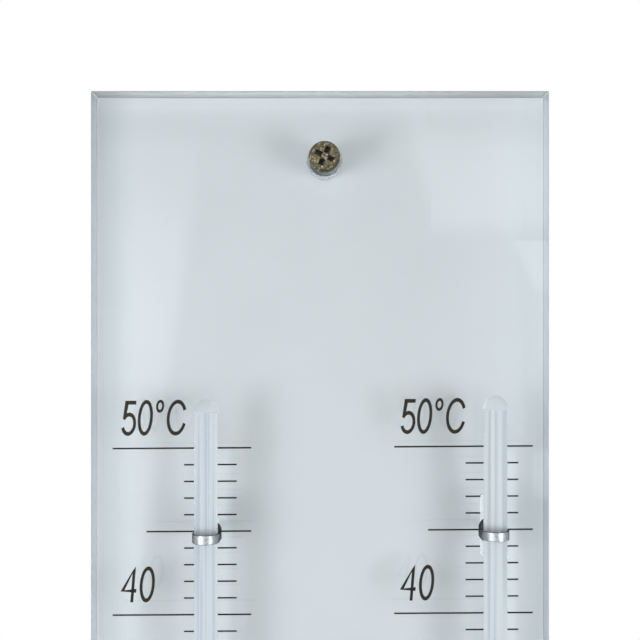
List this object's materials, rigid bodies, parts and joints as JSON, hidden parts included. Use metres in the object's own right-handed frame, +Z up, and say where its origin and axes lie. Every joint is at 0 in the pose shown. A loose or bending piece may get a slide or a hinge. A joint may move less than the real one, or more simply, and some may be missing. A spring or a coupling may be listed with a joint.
{
  "type": "wet and dry bulb hygrometer",
  "caption": "Clear wall board with two glass thermometers against a printed scale, one bulb kept wet by a muslin wick from a small vial.",
  "frame": {"origin": "middle of the white sheet's rear face, which lies on the wall", "axes": "+Z up along the board, +Y into the wall, +X to the right of someone who reads the scale"},
  "size_m": [0.12, 0.0342, 0.42],
  "materials": {
    "clear_acrylic": "clear, polished faces and satin sawn edges",
    "white_sheet": "matt white",
    "grey_sleeve": "dull drawn tube",
    "yellow_zinc": "worn yellow zinc plate",
    "bright_band": "bright rolled strip",
    "dark_screw": "dark oxide steel",
    "stem_glass": "clear drawn glass",
    "white_enamel": "opal white strip",
    "dyed_spirit": "red dyed spirit",
    "muslin": "damp woven cotton muslin",
    "thread": "cotton thread",
    "vial_glass": "clear glass",
    "water": "clear water",
    "white_cap": "satin white moulding"
  },
  "bodies": {
    "board": {"clear_board": "clear_acrylic", "white_back": "white_sheet", "top_sleeve": "grey_sleeve", "bottom_sleeve": "grey_sleeve", "top_mount_screw": "yellow_zinc", "bottom_mount_screw": "yellow_zinc", "wet_upper_clip": "bright_band", "wet_lower_clip": "bright_band", "dry_upper_clip": "bright_band", "dry_lower_clip": "bright_band", "wet_upper_screw": "dark_screw", "wet_lower_screw": "dark_screw", "dry_upper_screw": "dark_screw", "dry_lower_screw": "dark_screw", "strap_screw_left": "dark_screw", "strap_screw_right": "dark_screw", "reservoir_strap": "bright_band"},
    "wet_thermometer": {"wet_glass": "stem_glass", "wet_enamel": "white_enamel", "wet_spirit": "dyed_spirit", "wick": "muslin", "wick_tie": "thread"},
    "dry_thermometer": {"dry_glass": "stem_glass", "dry_enamel": "white_enamel", "dry_spirit": "dyed_spirit"},
    "reservoir": {"reservoir_vial": "vial_glass", "reservoir_water": "water"},
    "cap": {"reservoir_cap": "white_cap"}
  },
  "joints": [
    {"name": "wet_slide", "type": "slide", "parent": "board", "child": "wet_thermometer", "axis": [0, 0, 1], "range_m": [-0.006, 0.028]},
    {"name": "dry_slide", "type": "slide", "parent": "board", "child": "dry_thermometer", "axis": [0, 0, 1], "range_m": [-0.006, 0.03]},
    {"name": "reservoir_lift", "type": "slide", "parent": "board", "child": "reservoir", "axis": [0, 0, 1], "range_m": [0, 0.008]},
    {"name": "cap_lift", "type": "slide", "parent": "reservoir", "child": "cap", "axis": [0, 0, 1], "range_m": [0, 0.006]}
  ]
}
